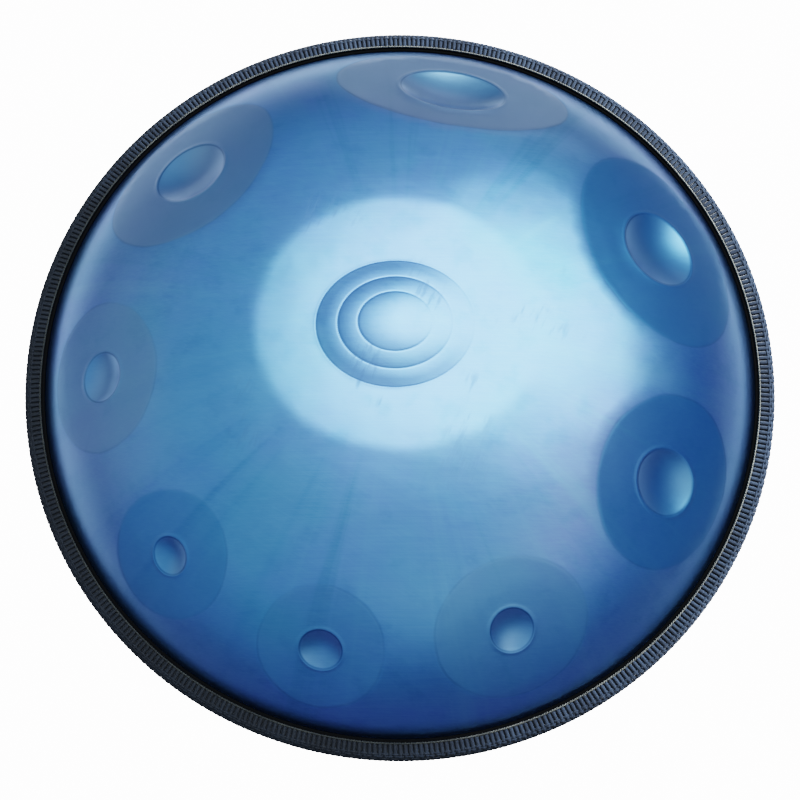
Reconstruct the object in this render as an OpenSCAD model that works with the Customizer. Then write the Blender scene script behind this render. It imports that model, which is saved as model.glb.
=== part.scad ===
// Handpan: two formed steel half-shells bonded at a flange, with a woven rim cover.
// Z is the drum's axis, and the origin is the middle of the flat ring that it rests on.

/* [Shells] */
// Diameter over the woven rim cover
overall_d = 560; // [540:1:590]
// Radius of the arc over the middle of the top shell, where less makes a taller dome
top_crown = 430; // [400:5:480]
// Radius of the arc over the middle of the bottom shell
low_crown = 300; // [270:5:360]
// Thickness of the shell steel
steel_t = 1.2; // [0.9:0.1:1.6]

/* [Flange and rim] */
// Radial width of each flat flange
flange_w = 7.9; // [7.1:0.2:9.1]
// Thickness of the adhesive between the flanges
bond_t = 0.6; // [0.4:0.1:1]
// Wall thickness of the rubber channel
channel_t = 1.5; // [1.3:0.1:2.3]
// Width of rubber lip left bare inside the woven cover
lip_bare = 1.6; // [1.2:0.1:4]
// Thickness of the woven cover over the rubber channel
cover_t = 2; // [1.8:0.1:3.2]
// Diameter of the cord along each edge of the woven cover
edge_cord_d = 1.6; // [1.2:0.1:2]

/* [Centre note] */
// Mean radius of the centre note's lowest step
ding_r = 47.8; // [42:0.2:52]
// Ratio of the centre note's width to its length
ding_oval = 0.83; // [0.78:0.01:1]
// Slope of the lowest step at its edge, in degrees
ding_slope = 15.5; // [12:0.5:20]
// Mean radius of the flattened field round the centre note
centre_field_r = 91.4; // [84:0.2:96]
// How far the middle of that field lies below the plain dome
centre_press = 4; // [2:0.2:5]

/* [Ring notes] */
// Distance of the note dimples from the drum's axis
note_ring_r = 209; // [205:1:212]
// Half width, around the drum, of the largest dimple
dimple_half = 39; // [32:0.5:40]
// Depth of a dimple as a share of its half width
dimple_depth = 0.25; // [0.18:0.01:0.28]

/* [Port] */
// Inner radius of the port in the bottom shell
port_r = 50; // [44:0.5:56]
// Straight length of the port's neck
neck_l = 16; // [10:0.5:24]
// Radius of the bend from the neck to the resting ring
port_bend = 7; // [5:0.5:9]
// Width of the flat ring that the drum rests on
rest_w = 4; // [3:0.5:6]

/* [Hidden] */

$fn = 96;
ROUND = 180;                                // segments of the drum-sized circles
ARC_STEPS = 16;                             // straight pieces in each arc of a wall
WALL_SLOPE = 60;                            // slope of a shell's wall where it meets the bend
FOOT_BEND = 1.5;                            // radius of the bend from the wall to the flange
CROWN_R = 150;                              // radius at which a crown arc meets its shoulder arc
EDGE_AIR = 1.2;                             // gap behind the flange's edge in the channel
CHANNEL_BACK = 4.2;                         // woven cover's thickness at the outermost point
DING_AT = [-3, 2];                          // centre of the centre note

// Rim section, from the outside in
cover_ro = overall_d / 2;
channel_ro = cover_ro - CHANNEL_BACK;
flange_ro = channel_ro - channel_t - EDGE_AIR;
foot_r = flange_ro - flange_w;
channel_ri = foot_r;
channel_w = channel_ro - channel_ri;
cover_ri = channel_ri + lip_bare;
wall_r = foot_r - FOOT_BEND * sin(WALL_SLOPE);
foot_rise = steel_t + FOOT_BEND * (1 - cos(WALL_SLOPE));
stack_h = steel_t + bond_t / 2;
channel_h = stack_h + channel_t;
cover_h = channel_h + cover_t;

// Shell arcs: a crown arc about the axis, then a tighter shoulder arc down to the wall
rest_r = port_r + port_bend + rest_w;
top_slope = asin(CROWN_R / top_crown);
top_shoulder = (wall_r - CROWN_R) / (sin(WALL_SLOPE) - sin(top_slope));
low_slope = asin((CROWN_R - rest_r) / low_crown);
low_shoulder = (wall_r - CROWN_R) / (sin(WALL_SLOPE) - sin(low_slope));
dome_h = foot_rise + top_crown * (1 - cos(top_slope))
    + top_shoulder * (cos(top_slope) - cos(WALL_SLOPE));
bowl_h = low_crown * (1 - cos(low_slope)) + low_shoulder * (cos(low_slope) - cos(WALL_SLOPE));
field_slope = asin(centre_field_r / top_crown);
field_sag = top_crown * (1 - cos(field_slope)) - centre_press;
field_crown = (centre_field_r ^ 2 + field_sag ^ 2) / (2 * field_sag);
joint_h = bowl_h + foot_rise + bond_t / 2;  // middle of the adhesive
top_z = joint_h + bond_t / 2;               // underside of the top shell's flange

// Points on an arc about c, by slope: 0 is straight above c, or straight below if up is -1
function arc(c, r, from, to, up = 1) = [for (i = [0 : ARC_STEPS])
    let (a = from + (to - from) * i / ARC_STEPS) c + r * [sin(a), up * cos(a)]];

// Slope and height of the top dome's outer face at radius r
function dome_slope(r) = r < CROWN_R ? asin(r / top_crown)
    : asin(sin(top_slope) + (r - CROWN_R) / top_shoulder);
function crown_drop(s) = top_crown * (1 - cos(s));
function dome_z(r) = dome_h - (r < CROWN_R ? crown_drop(dome_slope(r))
    : crown_drop(top_slope) + top_shoulder * (cos(top_slope) - cos(dome_slope(r))));

// Height of the centre note's flattened field at radius r
function centre_field_z(r) = dome_h - centre_press - field_crown + sqrt(field_crown ^ 2 - r ^ 2);

// Ring notes: angle, offset from the note ring, half width around the drum, half length up
// the slope, depth of the flat field. The two half sizes are shares of dimple_half.
NOTES = [
    [79, 2, 1, 0.82, 6],
    [22, -5, 0.74, 0.83, 6.2],
    [-27.3, -1, 0.56, 0.7, 5],
    [-68.9, 1, 0.39, 0.46, 3.8],
    [-104.4, 6, 0.37, 0.41, 2.9],
    [-137.3, 5, 0.33, 0.37, 3.1],
    [-174.8, 3, 0.45, 0.5, 4],
    [138.5, -2, 0.73, 0.84, 6]
];

// Moves its children to a note's centre, with Z along the dome's outward normal
module at_note(note) {
    r = note_ring_r + note[1];
    rotate([0, 0, note[0]]) translate([r, 0, top_z + dome_z(r)])
        rotate([0, dome_slope(r), 0]) children();
}

// Ellipsoid that presses a note's dimple into its flat field
module dimple(note, wall) {
    across = dimple_half * note[2];
    along = dimple_half * note[3];
    deep = dimple_depth * across;
    ball = (across ^ 2 + deep ^ 2) / (2 * deep);
    translate([0, 0, ball - deep - note[4]])
        scale([along / across, 1, 1]) sphere(ball + wall);
}

// Points round the bend from a wall onto its flange, upwards from the bonded face
function foot_arc(wall) = arc([foot_r, FOOT_BEND + steel_t], FOOT_BEND + wall,
    -0.9 * WALL_SLOPE, 0, -1);

// Body of revolution inside the top shell's face and flange, its face moved in by wall
module dome_core(wall) {
    field_c = [0, dome_h - centre_press - field_crown];
    crown_c = [0, dome_h - top_crown];
    shoulder_c = crown_c + (top_crown - top_shoulder) * [sin(top_slope), cos(top_slope)];
    below = wall > 0 ? [[foot_r, -10], [0, -10]] : [[flange_ro, steel_t], [flange_ro, 0], [0, 0]];
    translate([0, 0, top_z]) rotate_extrude($fn = ROUND)
        polygon(concat(arc(field_c, field_crown - wall, 0, asin(centre_field_r / field_crown)),
            arc(crown_c, top_crown - wall, field_slope + 0.5, top_slope),
            arc(shoulder_c, top_shoulder - wall, top_slope + 1, WALL_SLOPE), foot_arc(wall), below));
}

// Stack of three oval caps that makes the centre note, its face moved in by wall
module ding_caps(wall) {
    radii = ding_r * [1, 0.725, 0.47];
    slopes = [for (i = [0 : 2]) ding_slope + 2 * i];
    balls = [for (i = [0 : 2]) radii[i] / sin(slopes[i])];
    rises = [for (i = [0 : 1]) sqrt(balls[i] ^ 2 - radii[i + 1] ^ 2) - balls[i] * cos(slopes[i])];
    bases = [0, rises[0], rises[0] + rises[1]];
    translate([DING_AT[0], DING_AT[1], top_z + centre_field_z(ding_r)])
        scale([1 / sqrt(ding_oval), sqrt(ding_oval), 1])
        intersection() {
            union() for (i = [0 : 2])
                translate([0, 0, bases[i] - balls[i] * cos(slopes[i])]) sphere(balls[i] - wall);
            translate([0, 0, -12]) cylinder(h = 60, r = ding_r + 4 - wall);
        }
}

// Everything inside the top shell's face: dome, flat note fields, dimples and centre note
module top_form(wall) {
    difference() {
        dome_core(wall);
        for (note = NOTES) at_note(note) {
            translate([-100, -100, -note[4] - wall]) cube([200, 200, 60]);
            dimple(note, wall);
        }
    }
    ding_caps(wall);
}

module top_shell() {
    color("steelblue") difference() {
        top_form(0);
        top_form(steel_t);
    }
}

module bottom_shell() {
    crown_c = [rest_r, low_crown];
    shoulder_c = crown_c + (low_crown - low_shoulder) * [sin(low_slope), -cos(low_slope)];
    bend_c = [port_r + port_bend, port_bend];
    neck_top = port_bend + neck_l;
    flange_top = joint_h - bond_t / 2;
    outer_foot = [for (p = foot_arc(0)) [p[0], flange_top - p[1]]];
    inner_foot = [for (p = foot_arc(steel_t)) [p[0], flange_top - p[1]]];
    color("steelblue") rotate_extrude($fn = ROUND) polygon(concat(
        [[port_r + steel_t, neck_top], [port_r, neck_top]],
        arc(bend_c, port_bend, -90, 0, -1),
        arc(crown_c, low_crown, 0, low_slope, -1),
        arc(shoulder_c, low_shoulder, low_slope + 1, WALL_SLOPE, -1),
        outer_foot,
        [[flange_ro, flange_top - steel_t], [flange_ro, flange_top]],
        [for (i = [ARC_STEPS : -1 : 0]) inner_foot[i]],
        arc(shoulder_c, low_shoulder - steel_t, WALL_SLOPE, low_slope + 1, -1),
        arc(crown_c, low_crown - steel_t, low_slope, 0, -1),
        arc(bend_c, port_bend - steel_t, 0, -90, -1)));
}

module flange_bond() {
    color("gray") translate([0, 0, joint_h - bond_t / 2]) difference() {
        cylinder(h = bond_t, r = flange_ro, $fn = ROUND);
        translate([0, 0, -1]) cylinder(h = bond_t + 2, r = foot_r, $fn = ROUND);
    }
}

// Rubber channel clipped over the flange, open towards the body
module rim_channel() {
    color("black") translate([0, 0, joint_h]) rotate_extrude($fn = ROUND) difference() {
        translate([channel_ri, -channel_h]) square([channel_w, 2 * channel_h]);
        translate([channel_ri - 1, -stack_h])
            square([channel_w + 1 - channel_t, 2 * stack_h]);
    }
}

// Half section of the woven cover: flat over the channel's lips, half round outside
module cover_section() {
    difference() {
        intersection() {
            translate([cover_ri, -cover_h]) square([cover_ro - cover_ri, 2 * cover_h]);
            translate([cover_ro - cover_h, 0]) union() {
                circle(cover_h);
                translate([-channel_w, -cover_h]) square([channel_w, 2 * cover_h]);
            }
        }
        translate([channel_ri - 1, -channel_h]) square([channel_w + 1, 2 * channel_h]);
    }
}

// Places the edge cord's round section in the inner corner of the cover
module edge_cord_section(up) {
    translate([cover_ri + edge_cord_d / 2, up * (cover_h - edge_cord_d / 2)])
        circle(d = edge_cord_d, $fn = 24);
}

// The cover's inner corners are cut away to seat the two edge cords
module rim_weave() {
    color("darkslategray") translate([0, 0, joint_h]) rotate_extrude($fn = ROUND)
        difference() {
            cover_section();
            for (up = [-1, 1])
                translate([cover_ri - 1, up > 0 ? cover_h - edge_cord_d : -cover_h - 1])
                    square([edge_cord_d + 1, edge_cord_d + 1]);
        }
}

module upper_edge_cord() {
    color("dimgray") translate([0, 0, joint_h]) rotate_extrude($fn = ROUND) edge_cord_section(1);
}

module lower_edge_cord() {
    color("dimgray") translate([0, 0, joint_h]) rotate_extrude($fn = ROUND) edge_cord_section(-1);
}

top_shell();
bottom_shell();
flange_bond();
rim_channel();
rim_weave();
upper_edge_cord();
lower_edge_cord();
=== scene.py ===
from math import asin, cos, pi, radians, sin, sqrt, tan

import bpy
import numpy as np
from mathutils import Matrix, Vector, noise
from mathutils.geometry import delaunay_2d_cdt


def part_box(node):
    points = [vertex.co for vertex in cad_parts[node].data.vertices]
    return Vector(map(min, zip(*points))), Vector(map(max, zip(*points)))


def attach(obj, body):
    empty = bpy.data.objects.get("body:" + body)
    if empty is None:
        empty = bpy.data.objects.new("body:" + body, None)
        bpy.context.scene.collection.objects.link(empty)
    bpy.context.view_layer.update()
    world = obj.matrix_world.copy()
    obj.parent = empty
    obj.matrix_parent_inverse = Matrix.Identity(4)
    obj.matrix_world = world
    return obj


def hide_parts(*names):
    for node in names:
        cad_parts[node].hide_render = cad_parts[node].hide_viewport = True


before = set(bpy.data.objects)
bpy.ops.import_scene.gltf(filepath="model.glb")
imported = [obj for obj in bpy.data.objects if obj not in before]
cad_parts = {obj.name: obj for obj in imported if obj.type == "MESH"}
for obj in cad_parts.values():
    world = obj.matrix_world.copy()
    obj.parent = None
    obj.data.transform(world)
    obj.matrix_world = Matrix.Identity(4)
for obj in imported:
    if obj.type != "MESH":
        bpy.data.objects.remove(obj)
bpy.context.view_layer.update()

# Shapes are worked out in millimetres from the CAD frame, and written in metres.
MM = 0.001
BODY = "root"


def mm(vector):
    return np.array(vector) / MM


# ---------------------------------------------------------------- sizes from the CAD frame
cover_low, cover_high = map(mm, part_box("rim_weave"))
_, channel_high = map(mm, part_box("rim_channel"))
top_low, top_high = map(mm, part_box("top_shell"))
_, bottom_high = map(mm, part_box("bottom_shell"))
cord_low, cord_high = map(mm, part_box("upper_edge_cord"))

JOINT_Z = (cover_low[2] + cover_high[2]) / 2
TOP_Z = top_low[2]                      # underside of the top shell's flange
LOW_Z = bottom_high[2]                  # upper face of the bottom shell's flange
FLANGE_R = top_high[0]
COVER_R = cover_high[0]
COVER_H = cover_high[2] - JOINT_Z
COVER_C = COVER_R - COVER_H             # centre of the cover's half-round outside
CHANNEL_R = channel_high[0]
CHANNEL_H = channel_high[2] - JOINT_Z
CORD_R = (cord_high[2] - cord_low[2]) / 2
CORD_RING_R = cord_high[0] - CORD_R
CORD_H = (cord_low[2] + cord_high[2]) / 2 - JOINT_Z

# Sizes that the boxes don't show, the same as in the CAD source unless a comment says otherwise
STEEL_T = 1.2
FLANGE_W = 7.9
WALL_SLOPE = radians(60)
CROWN_R = 150.0
TOP_CROWN = 430.0
LOW_CROWN = 300.0
PORT_R = 50.0
PORT_BEND = 7.0
NECK_TOP = 23.0
REST_R = PORT_R + PORT_BEND + 4.0
CHANNEL_T = 1.5
LIP_BARE = 1.6
CHANNEL_IN = FLANGE_R - FLANGE_W
COVER_IN = CHANNEL_IN + LIP_BARE
# The bend into the flange is larger than in CAD, and the lips cover its flattest part
FOOT_BEND = 3.2
FOOT_R = CHANNEL_IN + 1.2
WALL_R = FOOT_R - FOOT_BEND * sin(WALL_SLOPE)
FOOT_RISE = STEEL_T + FOOT_BEND * (1 - cos(WALL_SLOPE))

# Centre note: place, mean radius and oval
DING_AT = (-3.0, 2.0)
DING_R = 47.8
DING_OVAL = 0.83
# Its three stepped caps: share of the radius, slope at the edge, rounding of the edge's foot
DING_STEPS = (1.0, 0.725, 0.47)
DING_SLOPES = (17.0, 15.5, 13.0)
DING_SOFT = (0.7, 0.1, 0.1)
DING_LEVEL = 0.8                        # share of a step's width over which its cap levels out
DING_GROOVE, DING_GROOVE_W = 0.12, 0.6  # groove hammered along each foot: depth and width
# Flattened field round the centre note: centre, half sizes, how far it is pressed down
CENTRE_FIELD = ((-2.0, 5.0), (96.0, 87.0), 4.0)

# Ring notes: angle, radius, half width and half length of the dimple, then of the field,
# how far the field is pressed in, and how much paler grey and how much darker painted reflection
# makes the field
NOTES = [
    (79.0, 211, 39.0, 32.0, 87, 58, 8.0, 0.9, 0.0),
    (22.0, 204, 29.0, 32.4, 77, 68, 7.0, 0.0, 0.7),
    (-27.3, 208, 21.8, 27.2, 60, 61, 5.2, 0.0, 0.7),
    (-68.9, 210, 14.7, 17.3, 53, 55, 4.0, 0.25, 0.15),
    (-104.4, 215, 14.5, 16.0, 43, 50, 3.2, 0.2, 0.1),
    (-137.3, 214, 13.0, 14.5, 43, 51, 3.2, 0.0, 0.5),
    (-174.8, 212, 17.5, 19.4, 53, 54, 4.0, 0.4, 0.15),
    (138.5, 207, 27.2, 31.2, 71, 65, 6.4, 0.85, 0.1),
]
DIMPLE_DEPTH = 0.25                     # share of its half width
DIMPLE_SOFT = 2.4                       # rounding of its edge
DIMPLE_LIP, DIMPLE_LIP_W = 0.22, 1.4    # steel raised just outside it: height and width
FIELD_SOFT = 0.09                       # rounding of a field's edge, as a share of its depth


# ---------------------------------------------------------------- mesh helpers
def smooth_mesh(name, verts, faces, material):
    """A smooth-shaded mesh with one material, from points in metres."""
    mesh = bpy.data.meshes.new(name)
    mesh.from_pydata(verts.tolist(), [], [tuple(f) for f in faces])
    mesh.polygons.foreach_set("use_smooth", np.ones(len(mesh.polygons), bool))
    mesh.materials.append(material)
    mesh.update()
    return mesh


def add_object(name, data):
    """A new object in the scene."""
    obj = bpy.data.objects.new(name, data)
    bpy.context.scene.collection.objects.link(obj)
    return obj


def piece(name, verts, faces, material, slot, replaces=()):
    """A smooth mesh piece from points in mm, riding on the drum's one body."""
    obj = add_object(name, smooth_mesh(name, np.asarray(verts) * MM, faces, material))
    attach(obj, BODY)
    if replaces:
        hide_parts(*replaces)
    return obj


def circle(count, shift=0.0):
    """Angles of count points round a full turn, starting shift points on."""
    return (np.arange(count) + shift) * 2 * pi / count


def spokes(turn):
    """Unit vectors outwards and along the rim at those angles."""
    flat = np.zeros_like(turn)
    out = np.stack([np.cos(turn), np.sin(turn), flat], axis=-1)
    along = np.stack([-np.sin(turn), np.cos(turn), flat], axis=-1)
    return out, along


def grid_faces(rows, cols, wrap_rows=False):
    """Quads of a grid of points, row by row, each row a closed loop."""
    i, j = np.meshgrid(np.arange(rows if wrap_rows else rows - 1), np.arange(cols), indexing="ij")
    i, j = i.ravel(), j.ravel()
    up, right = (i + 1) % rows, (j + 1) % cols
    return np.stack([i * cols + j, i * cols + right, up * cols + right, up * cols + j], axis=1)


def revolve(section, sectors, closed=True):
    """Points and quads of a section of (radius, height) turned round the drum's axis."""
    section = np.asarray(section, float)
    turn = circle(sectors)
    verts = np.stack([section[:, :1] * np.cos(turn), section[:, :1] * np.sin(turn),
                      np.repeat(section[:, 1:], sectors, axis=1)], axis=2).reshape(-1, 3)
    return verts, grid_faces(len(section), sectors, wrap_rows=closed)


def arc(centre, radius, start, end, steps, up=1):
    """Points on an arc by slope, where 0 is straight above the centre, or below for up=-1."""
    return [(centre[0] + radius * sin(a), centre[1] + up * radius * cos(a))
            for a in np.linspace(start, end, steps)]


def soft_floor(value, width):
    """The larger of value and 0, with the corner rounded over +-width."""
    middle = (value + width) ** 2 / (4 * width)
    return np.where(value > width, value, np.where(value < -width, 0.0, middle))


# ---------------------------------------------------------------- top shell
TOP_SLOPE = asin(CROWN_R / TOP_CROWN)
TOP_SHOULDER = (WALL_R - CROWN_R) / (sin(WALL_SLOPE) - sin(TOP_SLOPE))
DOME_H = (FOOT_RISE + TOP_CROWN * (1 - cos(TOP_SLOPE))
          + TOP_SHOULDER * (cos(TOP_SLOPE) - cos(WALL_SLOPE)))


def dome_slope(r):
    r = np.asarray(r, float)
    crown = np.arcsin(np.clip(r / TOP_CROWN, 0, 1))
    shoulder = np.arcsin(np.clip(sin(TOP_SLOPE) + (r - CROWN_R) / TOP_SHOULDER, -1, 1))
    bend = np.arcsin(np.clip((FOOT_R - r) / FOOT_BEND, 0, 1))
    return np.where(r < CROWN_R, crown, np.where(r < WALL_R, shoulder, bend))


def dome_height(r):
    """Height of the plain dome, bend and flange above the flange's underside."""
    r = np.asarray(r, float)
    s = dome_slope(r)
    crown = DOME_H - TOP_CROWN * (1 - np.cos(s))
    shoulder = (DOME_H - TOP_CROWN * (1 - cos(TOP_SLOPE))
                - TOP_SHOULDER * (cos(TOP_SLOPE) - np.cos(s)))
    bend = STEEL_T + FOOT_BEND * (1 - np.cos(s))
    return np.where(r < CROWN_R, crown, np.where(r < WALL_R, shoulder, bend))


class Note:
    """A ring note's place on the dome, with its own axes round and down the slope."""

    def __init__(self, angle, radius, dimple_a, dimple_b, field_a, field_b, pressed, grey, dark):
        turn, slope = radians(angle), float(dome_slope(radius))
        out = np.array([cos(turn), sin(turn), 0.0])
        self.across = np.array([-sin(turn), cos(turn), 0.0])
        self.down = cos(slope) * out - np.array([0, 0, sin(slope)])
        self.normal = sin(slope) * out + np.array([0, 0, cos(slope)])
        self.centre = radius * out + np.array([0, 0, float(dome_height(radius))])
        self.dimple, self.field, self.pressed = (dimple_a, dimple_b), (field_a, field_b), pressed
        self.grey, self.dark = grey, dark

    def reach(self, points, half):
        """Distance of points from the note's centre, where 1 is on the oval of those halves."""
        offset = points - self.centre
        return np.hypot(offset @ self.across / half[0], offset @ self.down / half[1])

    def oval(self, half, scale, count, shift=0.0):
        """Plan points of the oval of those halves times scale."""
        turn = circle(count, shift)
        spot = (self.centre + scale * half[0] * np.cos(turn)[:, None] * self.across
                + scale * half[1] * np.sin(turn)[:, None] * self.down)
        return spot[:, :2]


RING = [Note(*row) for row in NOTES]
DING_HALF = (DING_R / sqrt(DING_OVAL), DING_R * sqrt(DING_OVAL))


def ding_reach(plan):
    """Distance of plan points from the centre note's centre, where 1 is on its lowest edge."""
    return np.hypot((plan[:, 0] - DING_AT[0]) / DING_HALF[0],
                    (plan[:, 1] - DING_AT[1]) / DING_HALF[1])


def ding_height(reach):
    """Height of the three stepped caps over their field, where reach 1 is the lowest edge."""
    radius = reach * DING_R
    _, half, pressed = CENTRE_FIELD
    bow = DING_R ** 2 * (1 / (2 * TOP_CROWN) - pressed / (half[0] * half[1]))
    field = bow * np.maximum(1 - reach ** 2, 0)
    edges = [step * DING_R for step in DING_STEPS] + [0.0]
    height, groove, base = np.zeros_like(radius), 0.0, 0.0
    for outer, inner, slope, soft in zip(edges, edges[1:], DING_SLOPES, DING_SOFT):
        flat = max(0.0, inner - DING_LEVEL * (outer - inner))   # radius where the cap is level
        run, rise = outer - flat, tan(radians(slope))
        cap = base + rise * (run ** 2 - np.maximum(radius - flat, 0) ** 2) / (2 * run)
        height = height + soft_floor(cap - field - height, soft)
        groove = groove + DING_GROOVE * np.exp(-((radius - outer) / DING_GROOVE_W) ** 2)
        base += rise * (run ** 2 - (inner - flat) ** 2) / (2 * run)
    return height - groove


def hammering(plan):
    """Slight unevenness of the hammered sheet, fading out towards the flange."""
    depth, wide, narrow, share = 0.3, 42, 15, 0.3
    margin, fade_w = 6, 30
    fade = np.clip((WALL_R - margin - np.hypot(plan[:, 0], plan[:, 1])) / fade_w, 0, 1)
    wave = np.array([noise.noise(Vector((x / wide, y / wide, 3.1)))
                     + share * noise.noise(Vector((x / narrow, y / narrow, 8.7))) for x, y in plan])
    return depth * fade * wave


def top_surface(plan):
    """Outer face of the top shell over plan points, in mm above the flange's underside."""
    radius = np.hypot(plan[:, 0], plan[:, 1])
    base = np.column_stack([plan, dome_height(radius)])
    face = base.copy()
    for note in RING:
        edge = 1 - note.reach(base, note.field) ** 2
        pressed = note.pressed * soft_floor(edge, FIELD_SOFT)
        bowl = note.reach(base, note.dimple)
        half = note.dimple[0]
        depth = DIMPLE_DEPTH * half * soft_floor(1 - bowl ** 2, DIMPLE_SOFT / half)
        lip = DIMPLE_LIP * np.exp(-(((bowl - 1.05) * half / DIMPLE_LIP_W) ** 2))
        face -= (pressed + depth - lip)[:, None] * note.normal
    centre, half, pressed = CENTRE_FIELD
    edge = 1 - ((plan[:, 0] - centre[0]) / half[0]) ** 2 - ((plan[:, 1] - centre[1]) / half[1]) ** 2
    face[:, 2] -= pressed * soft_floor(edge, FIELD_SOFT)
    face[:, 2] += ding_height(ding_reach(plan)) + hammering(plan)
    return face


RIM_POINTS = 540                        # points round the flange's edge
SPACING = 4.2                           # between points on the open dome
OPEN_R = 249                            # the open dome's points end here
BEND_R = 252                            # and the rings down to the flange start here


def note_plan(note, lifted):
    """A note's own plan points, and which of the dome's points stay clear of them."""
    keep = note.reach(lifted, note.dimple) > 1.3
    around = int(2 * pi * note.dimple[0] / 1.8)
    marks = [0.2, 0.4, 0.6, 0.75, 0.86] + [1 + k * 1.3 / note.dimple[0] for k in range(-3, 5)]
    creases = [note.oval(note.dimple, mark, around, 0.5 * (i % 2)) for i, mark in enumerate(marks)]
    gap = 2.6 / note.field[0]
    keep &= abs(note.reach(lifted, note.field) - 1) > 3.4 * gap
    around = int(2 * pi * note.field[0] / 3.2)
    creases += [note.oval(note.field, 1 + k * gap, around, 0.5 * (k % 2)) for k in (-2, -1, 0, 1, 2)]
    creases.append(note.centre[None, :2])
    return creases, keep


def ding_plan():
    """The centre note's own plan points, closer along each step's edge."""
    marks = [0.03, 0.12, 0.22, 0.32, 0.4]
    for step in DING_STEPS[::-1]:
        marks += [step + k * 0.5 / DING_R for k in range(-4, 5)]
    marks += [0.55, 0.63, 0.81, 0.9, 1.08]
    ovals = []
    for i, mark in enumerate(marks):
        turn = circle(max(8, int(190 * mark)), 0.5 * (i % 2))
        ovals.append(np.column_stack([DING_AT[0] + mark * DING_HALF[0] * np.cos(turn),
                                      DING_AT[1] + mark * DING_HALF[1] * np.sin(turn)]))
    return ovals


def top_plan():
    """Plan points: rings over the dome, closer rows along every crease."""
    turn = circle(RIM_POINTS)
    rings = [FLANGE_R, 269, FOOT_R, 266.1, 265.7, 265.2, 264.8, 264.3, 263.95, WALL_R]
    rings += [262.7, 261.5, 259.8, 257.6, 255, BEND_R]
    fixed = np.vstack([np.column_stack([r * np.cos(turn), r * np.sin(turn)]) for r in rings])
    spread = [np.zeros((1, 2))]
    radius = SPACING
    while radius < OPEN_R:
        angles = circle(int(2 * pi * radius / SPACING), 0.5 * (len(spread) % 2))
        spread.append(radius * np.column_stack([np.cos(angles), np.sin(angles)]))
        radius += SPACING * 0.88
    spread = np.vstack(spread)
    lifted = np.column_stack([spread, dome_height(np.hypot(*spread.T))])
    keep = ding_reach(spread) > 1.12
    creases = []
    for note in RING:
        own, clear = note_plan(note, lifted)
        creases += own
        keep &= clear
    creases = np.vstack(creases + ding_plan())
    creases = creases[np.hypot(*creases.T) < (OPEN_R + BEND_R) / 2]
    return np.vstack([fixed, creases, spread[keep]])


def top_mesh():
    """Points, faces and normals of the whole sheet: outer face, inner face and flange edge."""
    flat, _, triangles, source, _, _ = delaunay_2d_cdt([Vector(p) for p in top_plan()],
                                                       [], [], 0, 1e-5)
    now_at = {s[0]: i for i, s in enumerate(source) if s}
    plan = np.array([tuple(p) for p in flat])
    outer = top_surface(plan)
    step = 0.05
    along = top_surface(plan + (step, 0)) - outer
    aside = top_surface(plan + (0, step)) - outer
    normal = np.cross(along, aside)
    normal /= np.linalg.norm(normal, axis=1)[:, None]
    inner = outer - STEEL_T * normal
    rim = np.hypot(*plan.T) > FOOT_R - 0.01
    inner[rim, :2] = outer[rim, :2]
    inner[rim, 2] = 0
    count = len(plan)
    faces = [tuple(t) for t in triangles]
    faces += [tuple(i + count for i in reversed(t)) for t in triangles]
    ring = [now_at[i] for i in range(RIM_POINTS)]
    for a, b in zip(ring, ring[1:] + ring[:1]):
        faces.append((a, a + count, b + count, b))
    verts = np.vstack([outer, inner]) + (0, 0, TOP_Z)
    return verts, faces, np.vstack([normal, -normal])


# ---------------------------------------------------------------- bottom shell
def bottom_section():
    """Closed section of the bowl: neck, port bend, bowl, foot bend and flange, and back."""
    slope = asin((CROWN_R - REST_R) / LOW_CROWN)
    shoulder = (WALL_R - CROWN_R) / (sin(WALL_SLOPE) - sin(slope))
    crown_c = (REST_R, LOW_CROWN)
    shoulder_c = (crown_c[0] + (LOW_CROWN - shoulder) * sin(slope),
                  crown_c[1] - (LOW_CROWN - shoulder) * cos(slope))
    port_c = (PORT_R + PORT_BEND, PORT_BEND)
    foot_c = (FOOT_R, LOW_Z - STEEL_T - FOOT_BEND)

    def face(inset):
        flange_z = LOW_Z - STEEL_T + inset
        neck = [(PORT_R + inset, z) for z in np.linspace(NECK_TOP, PORT_BEND + 1.5, 6)]
        return (neck + arc(port_c, PORT_BEND - inset, -pi / 2, 0, 14, -1)
                + arc(crown_c, LOW_CROWN - inset, 0, slope, 22, -1)
                + arc(shoulder_c, shoulder - inset, slope + 0.02, WALL_SLOPE, 40, -1)
                + arc(foot_c, FOOT_BEND + inset, -WALL_SLOPE * 0.9, 0, 8)
                + [(FOOT_R + 3, flange_z), (FLANGE_R, flange_z)])

    return face(0.0) + face(STEEL_T)[::-1]


# ---------------------------------------------------------------- rim
UP = np.array([0, 0, 1.0])
RIBS = 476
RIB_W, RIB_T = 1.58, 0.6                # half width and half thickness of a rib
BAND_W, BAND_T = 0.92, 0.55             # and of a cord of the bands
RIB_LIFT, BAND_LIFT = 0.3, 0.34         # how far they rise and dip, over and under each other
WEAVE_R = COVER_H - 0.95                # middle of the weave over the half-round outside
BACKING_R = COVER_H - 1.25              # outer face of the felted layer under it
LIP_ROUND = 0.75                        # radius of a rubber lip's edge


def tube(path, side, lift, half_side, half_lift, sides):
    """Rings of an oval tube along rows of points, from its two section axes at each point."""
    turn = circle(sides)
    return (path[..., None, :] + half_side * np.cos(turn)[:, None] * side[..., None, :]
            + half_lift * np.sin(turn)[:, None] * lift[..., None, :])


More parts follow.
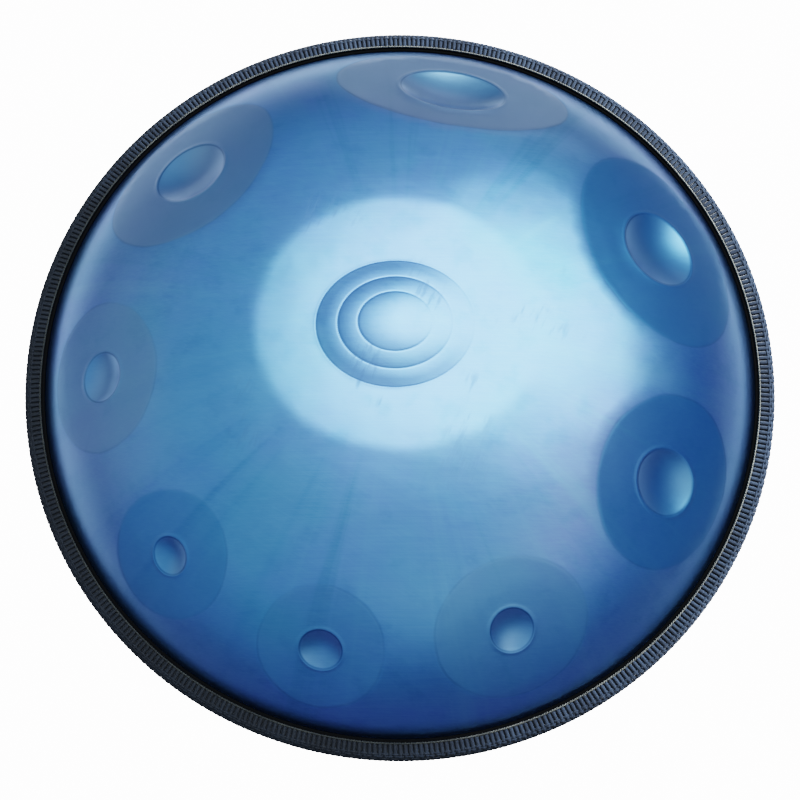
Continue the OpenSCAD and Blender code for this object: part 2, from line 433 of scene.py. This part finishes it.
def rib_path():
    """Section points and outward directions of one rib, from the upper inner edge to the lower."""
    inner = COVER_IN + 1.0
    flat = [(inner - 0.25, WEAVE_R - 0.85, -0.9, 0.45), (inner + 0.35, WEAVE_R - 0.2, -0.5, 0.87)]
    flat += [(r, WEAVE_R, 0.0, 1.0) for r in np.linspace(inner + 1.4, COVER_C, 4)]
    bends = np.radians(np.arange(78, -79, -12))
    round_ = [(COVER_C + WEAVE_R * cos(b), WEAVE_R * sin(b), cos(b), sin(b)) for b in bends]
    lower = [(r, -z, nr, -nz) for r, z, nr, nz in reversed(flat)]
    return np.array(flat + round_ + lower), len(flat), len(bends)


def ribs_mesh():
    """The cords that run across the band, one after another round the rim."""
    section, flat_count, bend_count = rib_path()
    sides = 6
    count = len(section)
    row = np.arange(count)
    woven = np.zeros(count)
    woven[flat_count + 1:flat_count + bend_count - 1] = 1.0
    turns = np.where(np.arange(RIBS) % 2, 1.0, -1.0)
    wave = turns[:, None] * woven * np.cos(pi * row)
    lean = np.interp(row, [0, flat_count, count - flat_count - 1, count - 1],
                     [0.0, 0.12, 0.5, 0.62]) * 2 * pi / RIBS
    out, side = spokes(circle(RIBS)[:, None] + lean)
    lift = section[:, 2, None] * out + section[:, 3, None] * UP
    path = (section[:, 0, None] * out + section[:, 1, None] * UP
            + (RIB_LIFT * wave)[..., None] * lift + (0, 0, JOINT_Z))
    verts = tube(path, side, lift, RIB_W, RIB_T, sides).reshape(-1, 3)
    one = grid_faces(count, sides)
    end = np.arange(sides)
    faces = [tuple(f) for k in range(RIBS) for f in one + k * count * sides]
    for k in range(RIBS):
        start = k * count * sides
        faces.append(tuple(start + end[::-1]))
        faces.append(tuple(start + (count - 1) * sides + end))
    return verts, faces


def bands_mesh():
    """The cords that run round the rim, over and under the ribs along its outer edge."""
    per_pair, sides = 6, 6
    count = RIBS // 2 * per_pair
    turn = circle(count)
    out, along = spokes(turn)
    verts, faces = [], []
    for k, bend in enumerate((90, 66, 42, 18, -18, -42, -66, -90)):
        lift = cos(radians(bend)) * out + sin(radians(bend)) * UP
        radius = WEAVE_R + BAND_LIFT * np.cos(RIBS * turn / 2 + pi * k)
        path = COVER_C * out + radius[:, None] * lift + (0, 0, JOINT_Z)
        rings = tube(path, np.cross(along, lift), lift, BAND_W, BAND_T, sides)
        faces.append(grid_faces(count, sides, wrap_rows=True) + k * count * sides)
        verts.append(rings.reshape(-1, 3))
    return np.vstack(verts), np.vstack(faces)


def backing_section():
    """Closed section of the felted layer between the ribs and the rubber channel."""
    edge, shoulder = COVER_IN + 0.9, COVER_IN + 1.6
    upper = [(edge, BACKING_R - 0.5), (shoulder, BACKING_R - 0.1)]
    bends = np.radians(np.arange(90, -91, -10))
    round_ = [(COVER_C + BACKING_R * cos(b), BACKING_R * sin(b)) for b in bends]
    lower = [(r, -z) for r, z in reversed(upper)]
    inner = [(edge, -CHANNEL_H), (CHANNEL_R, -CHANNEL_H), (CHANNEL_R, CHANNEL_H), (edge, CHANNEL_H)]
    return [(r, z + JOINT_Z) for r, z in upper + round_ + lower + inner]


def channel_section():
    """Closed section of the rubber channel, its rounded lips pressed against the shells' feet."""
    slot, slot_r, corner = CHANNEL_H - CHANNEL_T, CHANNEL_R - CHANNEL_T, 0.4
    upper = [(slot_r, slot), (CHANNEL_IN, slot), (CHANNEL_IN - 0.6, slot + 0.5)]
    upper += arc((CHANNEL_IN, CHANNEL_H - LIP_ROUND), LIP_ROUND, -pi / 2 - 0.3, 0, 9)
    upper += [(CHANNEL_IN + 1.2, CHANNEL_H), (CHANNEL_R - corner, CHANNEL_H),
              (CHANNEL_R, CHANNEL_H - corner)]
    return [(r, z + JOINT_Z) for r, z in upper + [(r, -z) for r, z in reversed(upper)]]


def edge_cord_mesh(height):
    """Two-ply twisted cord round the rim at that height above the joint."""
    twists, per_twist, sides, waist = 420, 6, 8, 0.2
    count = twists * per_twist
    turn = circle(count)
    out, _ = spokes(turn)
    roll = circle(sides)[None, :] + (turn * twists / 2)[:, None]
    thick = CORD_R * (1 - waist + waist * np.cos(2 * (roll - (turn * twists)[:, None])))
    verts = ((CORD_RING_R + thick * np.cos(roll))[..., None] * out[:, None, :]
             + (thick * np.sin(roll))[..., None] * UP + (0, 0, JOINT_Z + height))
    return verts.reshape(-1, 3), grid_faces(count, sides, wrap_rows=True)


# ---------------------------------------------------------------- node helpers
def node(tree, kind, inputs=None, **settings):
    made = tree.nodes.new("ShaderNode" + kind)
    for key, value in settings.items():
        setattr(made, key, value)
    for key, value in (inputs or {}).items():
        if isinstance(value, bpy.types.NodeSocket):
            tree.links.new(value, made.inputs[key])
        else:
            made.inputs[key].default_value = value
    return made


def calc(tree, operation, *values):
    return node(tree, "Math", dict(enumerate(values)), operation=operation).outputs[0]


def times(tree, first, second):
    return calc(tree, "MULTIPLY", first, second)


def vector(tree, operation, *values):
    made = node(tree, "VectorMath", dict(enumerate(values)), operation=operation)
    return made.outputs["Value" if operation in ("DOT_PRODUCT", "LENGTH") else "Vector"]


def turned(tree, place, angle):
    """Coordinates turned about Z."""
    return node(tree, "VectorRotate", {"Vector": place, "Angle": angle},
                rotation_type="Z_AXIS").outputs[0]


def cloud(tree, place, scale, detail=2.0, rough=0.5):
    """Noise from 0 to 1, its features about 1/scale metres across."""
    return node(tree, "TexNoise", {"Vector": place, "Scale": scale, "Detail": detail,
                                   "Roughness": rough}).outputs["Fac"]


def grain(tree, place, stretch, detail):
    """Noise stretched by a factor along each axis."""
    return cloud(tree, vector(tree, "MULTIPLY", place, stretch), 1.0, detail, 0.6)


def ramp(tree, value, low, high, start=0.0, end=1.0):
    """value's smooth stretch from low to high, spread over start to end."""
    return node(tree, "MapRange", {0: value, 1: low, 2: high, 3: start, 4: end},
                interpolation_type="SMOOTHSTEP").outputs[0]


def blend(tree, share, first, second):
    """Mix of two colours, each a socket or its red, green and blue."""
    pair = [c if isinstance(c, bpy.types.NodeSocket) else (*c, 1) for c in (first, second)]
    return node(tree, "Mix", {0: share, 6: pair[0], 7: pair[1]}, data_type="RGBA").outputs[2]


def material(name, metal=0.0):
    """A principled material: itself, its node tree, shader and object coordinates."""
    made = bpy.data.materials.new(name)
    made.use_nodes = True
    tree = made.node_tree
    shader = tree.nodes["Principled BSDF"]
    shader.inputs["Metallic"].default_value = metal
    return made, tree, shader, node(tree, "TexCoord").outputs["Object"]


def finish(tree, shader, colour, rough, height, distance, strength=1.0):
    bump = node(tree, "Bump", {"Strength": strength, "Distance": distance, "Height": height})
    tree.links.new(colour, shader.inputs["Base Color"])
    tree.links.new(rough, shader.inputs["Roughness"])
    tree.links.new(bump.outputs["Normal"], shader.inputs["Normal"])


# ---------------------------------------------------------------- steel
BLUE, BLUE_GREEN = (0.175, 0.335, 0.69), (0.175, 0.39, 0.68)
VIOLET, TEAL, DEEP_BLUE = (0.24, 0.32, 0.69), (0.08, 0.36, 0.55), (0.1, 0.27, 0.55)
PALE_FAN, PALE_RAY, DARK_RAY = (0.27, 0.5, 0.78), (0.22, 0.47, 0.72), (0.075, 0.27, 0.5)
BRUSHED = (0.3, 0.56, 0.8)
# painted reflection colours for the note fields, and painted shade for their edges
FIELD_PAINTED_PALE_REFLECTION, FIELD_PAINTED_DARK_REFLECTION, PAINTED_CREASE_SHADE = (0.26, 0.4, 0.57), (0.09, 0.31, 0.57), (0.04, 0.13, 0.3)
SCUFFED = (0.12, 0.22, 0.44)
FAN_WAY = (-0.8, -0.6, 0)


def edge_distance(tree, place, note, half):
    """Distance in mm from the oval of those halves round a note, less than 0 inside it."""
    offset = vector(tree, "SUBTRACT", place, tuple((note.centre + (0, 0, TOP_Z)) * MM))
    across = vector(tree, "DOT_PRODUCT", offset, tuple(note.across / (half[0] * MM)))
    down = vector(tree, "DOT_PRODUCT", offset, tuple(note.down / (half[1] * MM)))
    reach = vector(tree, "LENGTH", node(tree, "CombineXYZ", {0: across, 1: down}).outputs[0])
    return times(tree, calc(tree, "SUBTRACT", reach, 1.0), float(half[0]))


def note_marks(tree, place):
    """Painted reflection that makes each note's field paler grey and darker by its shares and its
    dimple bowl paler grey, and the crease hammered round each edge, whose dark line is painted
    shade.
    """
    height = node(tree, "SeparateXYZ", {0: place}).outputs[2]
    on_top = calc(tree, "GREATER_THAN", height, float(JOINT_Z * MM))
    wobble = calc(tree, "MULTIPLY_ADD", cloud(tree, place, 30.0, 3), 3.0, -1.5)
    grey, dark, crease = 0.0, 0.0, 0.0
    for note in RING:
        edge = calc(tree, "ADD", edge_distance(tree, place, note, note.field), wobble)
        inside = ramp(tree, edge, 1.2, -1.2)
        # painted reflection: each field made paler grey and darker by its note's shares
        grey = calc(tree, "MAXIMUM", grey, times(tree, inside, note.grey))
        dark = calc(tree, "MAXIMUM", dark, times(tree, inside, note.dark))
        # painted shade: a dark line along each field edge and dimple edge, also used for the
        # crease's bump
        line = ramp(tree, calc(tree, "ABSOLUTE", edge), 1.3, 0.2, 0, 0.4)
        bowl = edge_distance(tree, place, note, note.dimple)
        # painted reflection: the dimple bowls made paler grey in place of a brighter reflection
        grey = calc(tree, "MAXIMUM", grey, ramp(tree, bowl, 0.5, -1.5, 0, 0.5))
        line = calc(tree, "MAXIMUM", line, ramp(tree, calc(tree, "ABSOLUTE", bowl), 0.9, 0.15))
        crease = calc(tree, "MAXIMUM", crease, line)
    worn = ramp(tree, cloud(tree, place, 22.0, 3), 0.38, 0.6, 0.25, 1)
    return [times(tree, mark, on_top) for mark in (grey, dark, times(tree, crease, worn))]


def heat_tints(tree, place, radius):
    """The steel's heat colours: blue, with violet, teal and deep blue patches."""
    def patches(shift, scale, low, high, most):
        spot = vector(tree, "ADD", place, shift)
        return times(tree, ramp(tree, cloud(tree, spot, scale, 2), low, high), most)

    colour = blend(tree, ramp(tree, cloud(tree, place, 7.0, 4, 0.6), 0.36, 0.64), BLUE, BLUE_GREEN)
    violet = times(tree, patches((3.1, 1.7, 0.4), 7.0, 0.5, 0.75, 0.55),
                   ramp(tree, radius, 0.08, 0.17, 0.2, 1))
    colour = blend(tree, violet, colour, VIOLET)
    colour = blend(tree, patches((7.7, 5.2, 2.4), 9.0, 0.52, 0.78, 0.5), colour, TEAL)
    mottle = ramp(tree, cloud(tree, place, 48.0, 4, 0.6), 0.5, 0.7, 0, 0.3)
    return blend(tree, mottle, colour, DEEP_BLUE)


def rays(tree, colour, flat, radius):
    """Pale and dark streaks out from the centre, and a pale fan on the player's left."""
    way = vector(tree, "NORMALIZE", flat)
    streak = cloud(tree, vector(tree, "MULTIPLY_ADD", way, (4.2, 4.2, 0), flat), 1.0, 5, 0.66)
    lines = cloud(tree, vector(tree, "MULTIPLY", way, (8, 8, 0)), 1.0, 2)
    fan = ramp(tree, vector(tree, "DOT_PRODUCT", way, FAN_WAY), 0.86, 0.97, 0, 0.25)
    fan = times(tree, fan, ramp(tree, radius, 0.09, 0.125))
    fan = times(tree, fan, ramp(tree, lines, 0.42, 0.56))
    colour = blend(tree, fan, colour, PALE_FAN)
    fade = ramp(tree, radius, 0.07, 0.13)
    pale = times(tree, ramp(tree, streak, 0.5, 0.72), times(tree, fade, 0.5))
    colour = blend(tree, pale, colour, PALE_RAY)
    dark = times(tree, ramp(tree, streak, 0.46, 0.3), times(tree, fade, 0.45))
    return blend(tree, dark, colour, DARK_RAY)


def steel_material():
    """Heat-tinted blue steel, finely brushed, with handling marks, painted reflection on the note
    fields and dimple bowls, and painted shade along their edges.
    """
    made, tree, shader, place = material("blue_steel", metal=1.0)
    split = node(tree, "SeparateXYZ", {0: place})
    flat = node(tree, "CombineXYZ", {0: split.outputs[0], 1: split.outputs[1]}).outputs[0]
    radius = vector(tree, "LENGTH", flat)
    colour = rays(tree, heat_tints(tree, place, radius), flat, radius)

    lines = grain(tree, place, (26, 1500, 300), 3)
    cross = grain(tree, turned(tree, place, 0.5), (40, 1900, 300), 2)
    brushing = calc(tree, "ADD", times(tree, lines, 0.65), times(tree, cross, 0.35))
    colour = blend(tree, ramp(tree, brushing, 0.35, 0.68, 0, 0.22), colour, BRUSHED)

    grey, dark, crease = note_marks(tree, place)
    # painted reflection on the note fields and dimple bowls: paler grey, then darker
    colour = blend(tree, times(tree, grey, 0.7), colour, FIELD_PAINTED_PALE_REFLECTION)
    colour = blend(tree, times(tree, dark, 0.75), colour, FIELD_PAINTED_DARK_REFLECTION)
    # painted shade darkening along the field and dimple edges
    colour = blend(tree, times(tree, crease, 0.5), colour, PAINTED_CREASE_SHADE)

    scuffs = grain(tree, turned(tree, place, 0.4), (300, 52, 60), 3)
    patch = ramp(tree, cloud(tree, vector(tree, "ADD", place, (0.4, 0.2, 0)), 19.0, 2), 0.58, 0.7)
    rubbed = times(tree, ramp(tree, scuffs, 0.5, 0.66), patch)
    rubbed = times(tree, rubbed, ramp(tree, radius, 0.07, 0.15, 1.0, 0.12))
    colour = blend(tree, times(tree, rubbed, 0.4), colour, SCUFFED)

    rough = calc(tree, "MULTIPLY_ADD", brushing, 0.16, 0.22)
    rough = calc(tree, "MULTIPLY_ADD", rubbed, 0.12, rough)
    rough = calc(tree, "MULTIPLY_ADD", cloud(tree, place, 12.0, 4), 0.08, rough)
    height = calc(tree, "MULTIPLY_ADD", crease, -3.0, brushing)
    shader.inputs["Anisotropic"].default_value = 0.3
    finish(tree, shader, colour, rough, height, 0.00004, 0.5)
    return made


# ---------------------------------------------------------------- other materials
def fibre_material(name, dark, light, scale):
    """Spun cord or felt: fine fibres, uneven dye and a soft sheen."""
    made, tree, shader, place = material(name)
    fibres = cloud(tree, place, scale, 4, 0.7)
    dye = ramp(tree, cloud(tree, place, 40.0, 3), 0.35, 0.65, 0, 0.3)
    share = calc(tree, "ADD", ramp(tree, fibres, 0.35, 0.7, 0, 0.7), dye)
    shader.inputs["Sheen Weight"].default_value = 0.05
    shader.inputs["Sheen Roughness"].default_value = 0.45
    rough = ramp(tree, fibres, 0.3, 0.7, 0.6, 0.85)
    finish(tree, shader, blend(tree, share, dark, light), rough, fibres, 0.00015, 0.8)
    return made


def rubber_material():
    """Smooth black rubber with a trace of dust."""
    made, tree, shader, place = material("black_rubber")
    shader.inputs["Specular IOR Level"].default_value = 0.06
    pores = cloud(tree, place, 900.0, 3)
    dust = ramp(tree, cloud(tree, place, 45.0, 5, 0.6), 0.5, 0.8)
    colour = blend(tree, dust, (0.0008, 0.001, 0.0016), (0.0025, 0.003, 0.005))
    finish(tree, shader, colour, ramp(tree, dust, 0, 1, 0.42, 0.6), pores, 0.00003, 0.4)
    return made


def adhesive_material():
    """Cured grey adhesive, a little lumpy."""
    made, tree, shader, place = material("adhesive")
    lumps = cloud(tree, place, 160.0, 4)
    colour = blend(tree, lumps, (0.2, 0.2, 0.21), (0.42, 0.42, 0.43))
    finish(tree, shader, colour, ramp(tree, lumps, 0.3, 0.7, 0.45, 0.7), lumps, 0.0002)
    return made


def floor_material():
    """White studio paper, lit from within so that it stays white."""
    made, tree, shader, place = material("floor")
    speck = cloud(tree, place, 6.0, 3)
    shader.inputs["Emission Color"].default_value = (1, 1, 1, 1)
    shader.inputs["Emission Strength"].default_value = 8
    finish(tree, shader, blend(tree, speck, (0.9, 0.9, 0.9), (0.93, 0.93, 0.93)),
           ramp(tree, speck, 0, 1, 0.8, 0.95), speck, 0.0001, 0.1)
    return made


def bounce_material():
    """Card that is palest under the drum, and darker far out and towards the player."""
    made, tree, shader, place = material("bounce_card")
    split = node(tree, "SeparateXYZ", {0: place})
    right, away = split.outputs[0], split.outputs[1]
    distance = vector(tree, "LENGTH", place)
    pale = times(tree, ramp(tree, away, -0.5, -0.05), ramp(tree, distance, 1.5, 0.4))
    pale = times(tree, pale, ramp(tree, right, 0.25, 0.55, 1.0, 0.5))
    close = times(tree, ramp(tree, distance, 0.57, 0.42), ramp(tree, away, -0.35, 0.1))
    fleck = cloud(tree, place, 5.0, 3)
    light = blend(tree, fleck, (0.48, 0.42, 0.41), (0.52, 0.45, 0.44))
    colour = blend(tree, pale, (0.085, 0.085, 0.15), light)
    finish(tree, shader, blend(tree, close, colour, (0.95, 0.84, 0.88)),
           ramp(tree, fleck, 0, 1, 0.8, 0.95), fleck, 0.0001, 0.1)
    return made


# ---------------------------------------------------------------- stage, light and camera
# Soft regions of the surroundings: tilt off vertical, turn from +X towards +Y, the angles
# within which they are full and beyond which they are nothing, their share, and their colour
REGIONS = [
    (82, 355, 10, 36, 0.65, (0.035, 0.13, 0.27)),
    (30, 288, 5, 28, 0.72, (0.22, 0.4, 0.52)),
    (38, 182, 10, 30, 0.3, (0.14, 0.34, 0.5)),
    (95, 165, 15, 52, 0.33, (0.92, 0.72, 0.6)),
    (106, 70, 10, 30, 0.85, (1.15, 0.95, 0.98)),
    (88, 79, 5, 18, 0.7, (0.74, 0.64, 0.7)),
    (112, 285, 15, 50, 0.8, (0.06, 0.12, 0.2)),
]
SKY, SKY_GLOW, LOW_SKY = (0.305, 0.425, 0.53), (1.0, 0.93, 0.92), (0.08, 0.18, 0.30)
PANELS, PANEL_LIGHT = [(36, 36, 11, 30), (18, 78, 11, 28)], (3.9, 4.2, 4.35)


def stage_piece(name, profile, sectors, surface):
    """A stage surface from a profile of (radius, height) in metres, turned round the drum's axis."""
    verts, faces = revolve(profile, sectors, closed=False)
    made = add_object(name, smooth_mesh(name, verts, faces, surface))
    return made


def stage():
    """A pale floor that curves up into a round backdrop, and a card that bounces light."""
    flat_r, bend_r, wall_top = 2.0, 1.5, 4.0
    wall_r = flat_r + bend_r
    sweep = [(0.001, 0.0), (0.6, 0.0), (flat_r, 0.0)]
    sweep += [(flat_r + bend_r * sin(a), bend_r - bend_r * cos(a))
              for a in np.linspace(0.15, pi / 2, 12)]
    sweep += [(wall_r, 2.4), (wall_r, wall_top)]
    floor = stage_piece("floor", sweep, 96, floor_material())
    floor.visible_glossy = False
    floor.visible_diffuse = False
    floor.visible_shadow = False
    card = stage_piece("bounce_card", [(0.001, 0.0), (0.5, 0.0), (3.0, 0.0)], 64, bounce_material())
    card.visible_camera = False


def toward(tilt, turn):
    """Direction at that tilt off vertical and turn from +X towards +Y, in degrees."""
    tilt, turn = radians(tilt), radians(turn)
    return (sin(tilt) * cos(turn), sin(tilt) * sin(turn), cos(tilt))


def soft_light():
    """Two large soft panels overhead to the far right, with dimmer surroundings."""
    world = bpy.data.worlds.new("studio")
    bpy.context.scene.world = world
    world.use_nodes = True
    tree = world.node_tree
    way = vector(tree, "NORMALIZE", node(tree, "TexCoord").outputs["Generated"])
    height = node(tree, "SeparateXYZ", {0: way}).outputs[2]

    def glow(tilt, turn, inner, outer):
        """1 within inner degrees of a direction, falling to 0 at outer degrees."""
        facing = vector(tree, "DOT_PRODUCT", way, toward(tilt, turn))
        return ramp(tree, facing, cos(radians(outer)), cos(radians(inner)))

    colour = blend(tree, glow(27, 335, 8, 58), SKY, SKY_GLOW)
    colour = blend(tree, ramp(tree, height, 0.45, 0.05, 0, 0.75), colour, LOW_SKY)
    for *lobe, share, tint in REGIONS:
        colour = blend(tree, times(tree, glow(*lobe), share), colour, tint)
    unlit = times(tree, *[calc(tree, "SUBTRACT", 1.0, glow(*panel)) for panel in PANELS])
    colour = blend(tree, unlit, PANEL_LIGHT, colour)
    tree.links.new(colour, tree.nodes["Background"].inputs["Color"])


def side_light(rim_pieces):
    """A soft light from the right, kept to the woven rim."""
    lamp = add_object("side_light", bpy.data.lights.new("side_light", "AREA"))
    lamp.data.shape = "DISK"
    lamp.data.size = 0.9
    lamp.data.energy = 620
    lamp.data.color = (0.9, 0.95, 1.0)
    distance, way = 1.7, Vector(toward(73, 28))
    lamp.location = distance * way
    lamp.rotation_euler = way.to_track_quat("Z", "Y").to_euler()
    lamp.visible_glossy = False
    lit = bpy.data.collections.new("rim_lit")
    for rim_piece in rim_pieces:
        lit.objects.link(rim_piece)
    lamp.light_linking.receiver_collection = lit


def place_camera():
    """Above the front, aimed a little to the player's side of the drum's middle."""
    scene = bpy.context.scene
    tilt, distance, aim_shift, focal = radians(14.97), 0.967, -0.0204, 58.14
    centre = Vector((0, 0, JOINT_Z * MM))
    camera = add_object("camera", bpy.data.cameras.new("camera"))
    camera.location = centre + distance * Vector((0, -sin(tilt), cos(tilt)))
    look = centre + Vector((0, aim_shift, 0)) - camera.location
    camera.rotation_euler = look.to_track_quat("-Z", "Y").to_euler()
    camera.data.lens = focal
    camera.data.sensor_width = 36
    scene.camera = camera
    scene.view_settings.view_transform = "Filmic"
    scene.view_settings.look = "High Contrast"


# ---------------------------------------------------------------- build
def turned_piece(name, section, sectors, surface, slot, replaces):
    """A piece of revolution whose edges of over 40 degrees stay sharp."""
    verts, faces = revolve(section, sectors)
    made = piece(name, verts, faces, surface, slot, replaces)
    made.data.set_sharp_from_angle(angle=radians(40))
    return made


def build():
    steel = steel_material()
    cord = fibre_material("woven_cord", (0.0018, 0.003, 0.006), (0.0085, 0.013, 0.021), 1400)
    felt = fibre_material("backing_felt", (0.0006, 0.001, 0.002), (0.003, 0.0045, 0.008), 900)
    edging = fibre_material("edge_cord", (0.012, 0.013, 0.013), (0.06, 0.06, 0.052), 1800)

    verts, faces, normals = top_mesh()
    shell = piece("top_shell_sheet", verts, faces, steel, "blue_steel", ["top_shell"])
    shell.data.normals_split_custom_set_from_vertices(normals.tolist())
    turned_piece("bottom_shell_sheet", bottom_section(), 360, steel, "blue_steel", ["bottom_shell"])

    turned_piece("channel_lips", channel_section(), 480, rubber_material(), "black_rubber",
                 ["rim_channel"])
    turned_piece("weave_backing", backing_section(), 480, felt, "woven_cover", ["rim_weave"])
    ribs = piece("weave_ribs", *ribs_mesh(), cord, "woven_cover", ["rim_weave"])
    bands = piece("weave_bands", *bands_mesh(), cord, "woven_cover", ["rim_weave"])
    upper = piece("upper_cord_twist", *edge_cord_mesh(CORD_H), edging, "edge_cord",
                  ["upper_edge_cord"])
    piece("lower_cord_twist", *edge_cord_mesh(-CORD_H), edging, "edge_cord", ["lower_edge_cord"])

    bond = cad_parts["flange_bond"]
    bond.data.materials.clear()
    bond.data.materials.append(adhesive_material())
    return [ribs, bands, upper]


rim_pieces = build()
stage()
soft_light()
side_light(rim_pieces)
place_camera()
